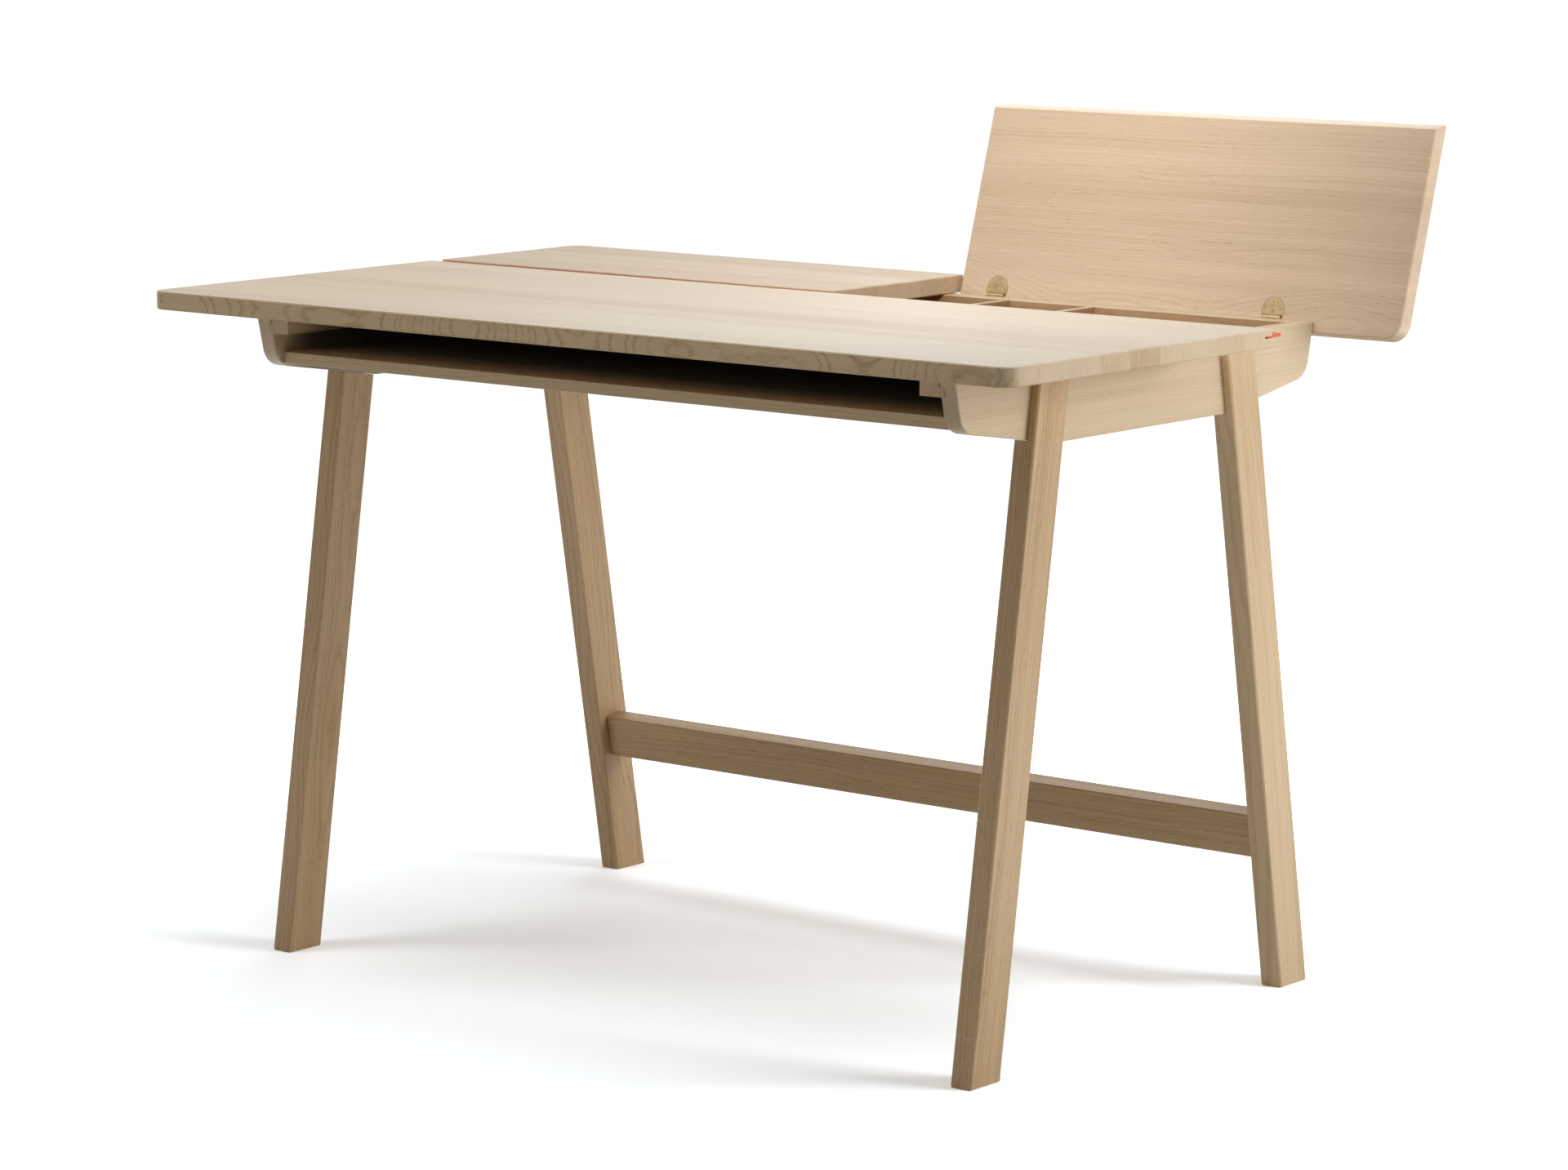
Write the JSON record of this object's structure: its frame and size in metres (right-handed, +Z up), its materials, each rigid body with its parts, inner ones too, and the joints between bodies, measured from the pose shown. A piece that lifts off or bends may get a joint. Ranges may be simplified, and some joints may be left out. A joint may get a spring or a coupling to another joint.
{
  "type": "writing desk",
  "caption": "Oak writing desk on raked legs, with an open front shelf and hinged rear lids over shallow compartments; one lid stands open.",
  "frame": {"origin": "on the floor, under the middle of the overall box with the right lid open", "axes": "+X to the sitter's right, +Y from front to back, +Z up"},
  "size_m": [1.172, 0.78, 0.9295],
  "materials": {
    "oak": "pale oak with a matt oiled finish",
    "oak_inside": "oak inside the compartments, matt",
    "brass_hinges": "satin brass leaves, a little olive",
    "brass_screws": "bright brass",
    "orange_felt": "orange felt strip, matt"
  },
  "bodies": {
    "desk": {"back_rail": "oak", "bottom_board": "oak", "compartment_back": "oak_inside", "compartment_front": "oak_inside", "desk_top": "oak", "divider_1": "oak_inside", "divider_2": "oak_inside", "gap_strip": "orange_felt", "left_cleat": "oak", "left_cleat_screw_1": "brass_screws", "left_cleat_screw_2": "brass_screws", "left_front_leg": "oak", "left_rear_leg": "oak", "left_side_panel": "oak", "left_inner_hinge_case_leaf": "brass_hinges", "left_inner_hinge_case_leaf_screw_1": "brass_screws", "left_inner_hinge_case_leaf_screw_2": "brass_screws", "left_inner_hinge_case_leaf_screw_3": "brass_screws", "left_inner_hinge_pin": "brass_screws", "left_outer_hinge_case_leaf": "brass_hinges", "left_outer_hinge_case_leaf_screw_1": "brass_screws", "left_outer_hinge_case_leaf_screw_2": "brass_screws", "left_outer_hinge_case_leaf_screw_3": "brass_screws", "left_outer_hinge_pin": "brass_screws", "right_cleat": "oak", "right_cleat_screw_1": "brass_screws", "right_cleat_screw_2": "brass_screws", "right_front_leg": "oak", "right_rear_leg": "oak", "right_side_panel": "oak", "right_inner_hinge_case_leaf": "brass_hinges", "right_inner_hinge_case_leaf_screw_1": "brass_screws", "right_inner_hinge_case_leaf_screw_2": "brass_screws", "right_inner_hinge_case_leaf_screw_3": "brass_screws", "right_inner_hinge_pin": "brass_screws", "right_outer_hinge_case_leaf": "brass_hinges", "right_outer_hinge_case_leaf_screw_1": "brass_screws", "right_outer_hinge_case_leaf_screw_2": "brass_screws", "right_outer_hinge_case_leaf_screw_3": "brass_screws", "right_outer_hinge_pin": "brass_screws", "stretcher": "oak"},
    "left_lid": {"left_lid": "oak", "left_inner_hinge_lid_leaf": "brass_hinges", "left_inner_hinge_lid_leaf_screw_1": "brass_screws", "left_inner_hinge_lid_leaf_screw_2": "brass_screws", "left_inner_hinge_lid_leaf_screw_3": "brass_screws", "left_outer_hinge_lid_leaf": "brass_hinges", "left_outer_hinge_lid_leaf_screw_1": "brass_screws", "left_outer_hinge_lid_leaf_screw_2": "brass_screws", "left_outer_hinge_lid_leaf_screw_3": "brass_screws"},
    "right_lid": {"right_lid": "oak", "right_inner_hinge_lid_leaf": "brass_hinges", "right_inner_hinge_lid_leaf_screw_1": "brass_screws", "right_inner_hinge_lid_leaf_screw_2": "brass_screws", "right_inner_hinge_lid_leaf_screw_3": "brass_screws", "right_outer_hinge_lid_leaf": "brass_hinges", "right_outer_hinge_lid_leaf_screw_1": "brass_screws", "right_outer_hinge_lid_leaf_screw_2": "brass_screws", "right_outer_hinge_lid_leaf_screw_3": "brass_screws"}
  },
  "joints": [
    {"name": "left_lid_hinge", "type": "hinge", "parent": "desk", "child": "left_lid", "pos_m": [0, 0.30535, 0.72], "axis": [-1, 0, 0], "range_deg": [0, 107]},
    {"name": "right_lid_hinge", "type": "hinge", "parent": "desk", "child": "right_lid", "pos_m": [0, 0.30535, 0.72], "axis": [-1, 0, 0], "range_deg": [-107, 0]}
  ]
}
